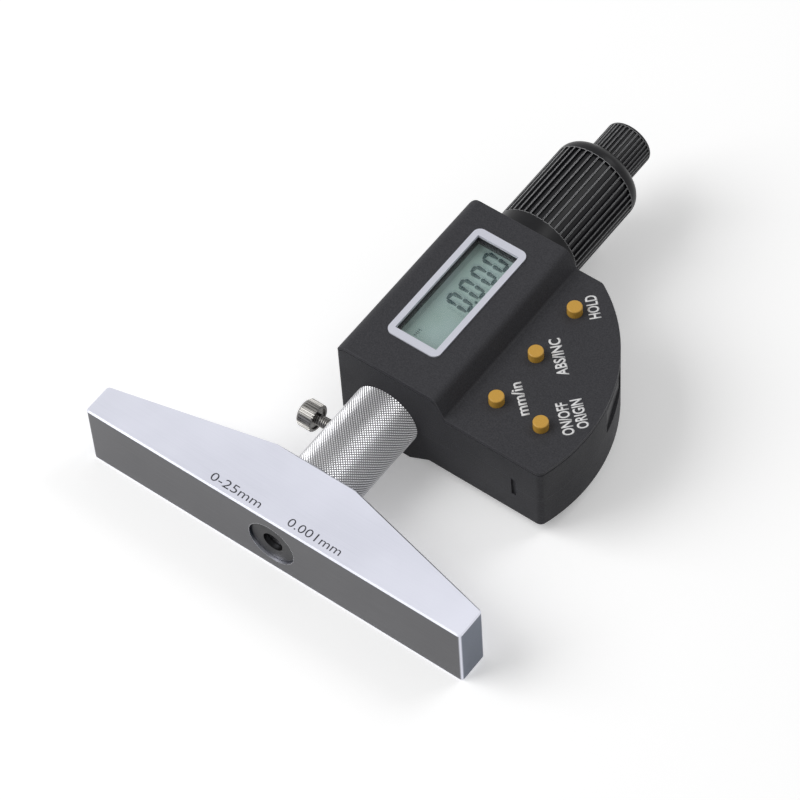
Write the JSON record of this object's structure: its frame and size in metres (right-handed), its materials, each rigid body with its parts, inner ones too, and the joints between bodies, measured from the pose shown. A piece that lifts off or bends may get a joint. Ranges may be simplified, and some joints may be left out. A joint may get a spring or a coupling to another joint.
{
  "type": "depth micrometer",
  "caption": "Digital depth micrometer with a steel base bar, measuring rod, lock screw, display housing, ribbed thimble and ratchet.",
  "frame": {"origin": "on the measuring rod's axis, in the plane of the base bar's measuring face", "axes": "+X along the base bar towards the housing's button lobe, +Y along the rod from the measuring face towards the ratchet, +Z out of the display"},
  "size_m": [0.1, 0.1338, 0.0282],
  "materials": {
    "ground_steel": "satin ground",
    "dark_steel": "satin",
    "knurled_steel": "diamond knurl",
    "nickel": "bright",
    "hardened_steel": "ground",
    "brass": "turned",
    "chassis_metal": "cast",
    "charcoal_plastic": "fine texture",
    "silver_bezel": "satin",
    "window": "clear",
    "display": "grey-green",
    "inner_plastic": "moulded",
    "circuit_board": "solder mask",
    "battery_case": "bright",
    "black_plastic": "semi-gloss",
    "amber_plastic": "semi-gloss"
  },
  "bodies": {
    "frame": {"base_bar": "ground_steel", "guide_bush": "dark_steel", "sleeve": "knurled_steel", "top_cover": "charcoal_plastic", "front_shell": "charcoal_plastic", "back_shell": "charcoal_plastic", "shell_screws": "nickel", "display_bezel": "silver_bezel", "display_window": "window", "display_panel": "display", "display_frame": "inner_plastic", "display_board": "circuit_board", "button_switches": "inner_plastic", "main_board": "circuit_board", "battery": "battery_case", "battery_contacts": "brass", "data_socket": "inner_plastic", "chassis": "chassis_metal", "encoder_stator": "circuit_board", "spindle_nut": "brass", "barrel": "hardened_steel"},
    "lock_screw": {"lock_screw": "nickel"},
    "lock_pad": {"lock_pad": "brass"},
    "thimble": {"thimble": "black_plastic", "retaining_ring": "hardened_steel", "drive_shaft": "hardened_steel", "ratchet_wheel": "hardened_steel", "ratchet_screw": "nickel"},
    "ratchet": {"ratchet_knob": "black_plastic", "click_plate": "hardened_steel", "ratchet_spring": "hardened_steel"},
    "spindle": {"spindle": "hardened_steel", "measuring_rod": "hardened_steel"},
    "encoder": {"encoder_rotor": "circuit_board"},
    "button_inch": {"button_inch": "amber_plastic"},
    "button_absolute": {"button_absolute": "amber_plastic"},
    "button_hold": {"button_hold": "amber_plastic"},
    "button_origin": {"button_origin": "amber_plastic"},
    "battery_cover": {"battery_cover": "charcoal_plastic"},
    "data_port_cover": {"data_port_cover": "charcoal_plastic"}
  },
  "joints": [
    {"name": "thimble_turn", "type": "hinge", "parent": "frame", "child": "thimble", "pos_m": [0, 0.1, 0], "axis": [0, -1, 0], "range_deg": [0, 19441]},
    {"name": "spindle_advance", "type": "slide", "parent": "thimble", "child": "spindle", "axis": [0, -1, 0], "range_m": [0, 0.027]},
    {"name": "encoder_turn", "type": "hinge", "parent": "frame", "child": "encoder", "pos_m": [0, 0.0535, 0], "axis": [0, -1, 0], "range_deg": [0, 19441]},
    {"name": "ratchet_slip", "type": "hinge", "parent": "thimble", "child": "ratchet", "pos_m": [0, 0.128, 0], "axis": [0, -1, 0], "continuous": true},
    {"name": "lock_turn", "type": "hinge", "parent": "frame", "child": "lock_screw", "pos_m": [-0.0134, 0.0315, 0], "axis": [1, 0, 0], "range_deg": [0, 160]},
    {"name": "lock_pad_press", "type": "slide", "parent": "frame", "child": "lock_pad", "axis": [1, 0, 0], "range_m": [0, 0.0002]},
    {"name": "press_inch", "type": "slide", "parent": "frame", "child": "button_inch", "axis": [0, 0, -1], "range_m": [0, 0.0005], "stiffness_N_per_m": 600},
    {"name": "press_absolute", "type": "slide", "parent": "frame", "child": "button_absolute", "axis": [0, 0, -1], "range_m": [0, 0.0005], "stiffness_N_per_m": 600},
    {"name": "press_hold", "type": "slide", "parent": "frame", "child": "button_hold", "axis": [0, 0, -1], "range_m": [0, 0.0005], "stiffness_N_per_m": 600},
    {"name": "press_origin", "type": "slide", "parent": "frame", "child": "button_origin", "axis": [0, 0, -1], "range_m": [0, 0.0005], "stiffness_N_per_m": 600},
    {"name": "battery_cover_turn", "type": "hinge", "parent": "frame", "child": "battery_cover", "pos_m": [0.027, 0.063, -0.0086], "axis": [0, 0, -1], "range_deg": [0, 90]},
    {"name": "data_port_cover_pull", "type": "slide", "parent": "frame", "child": "data_port_cover", "axis": [0.9304, 0.3665, 0], "range_m": [0, 0.008]}
  ],
  "couplings": [
    {"joint": "thimble_turn", "follows": "spindle_advance", "rad_per_m": 12566},
    {"joint": "encoder_turn", "follows": "spindle_advance", "rad_per_m": 12566},
    {"joint": "lock_turn", "follows": "lock_pad_press", "rad_per_m": 13962}
  ]
}
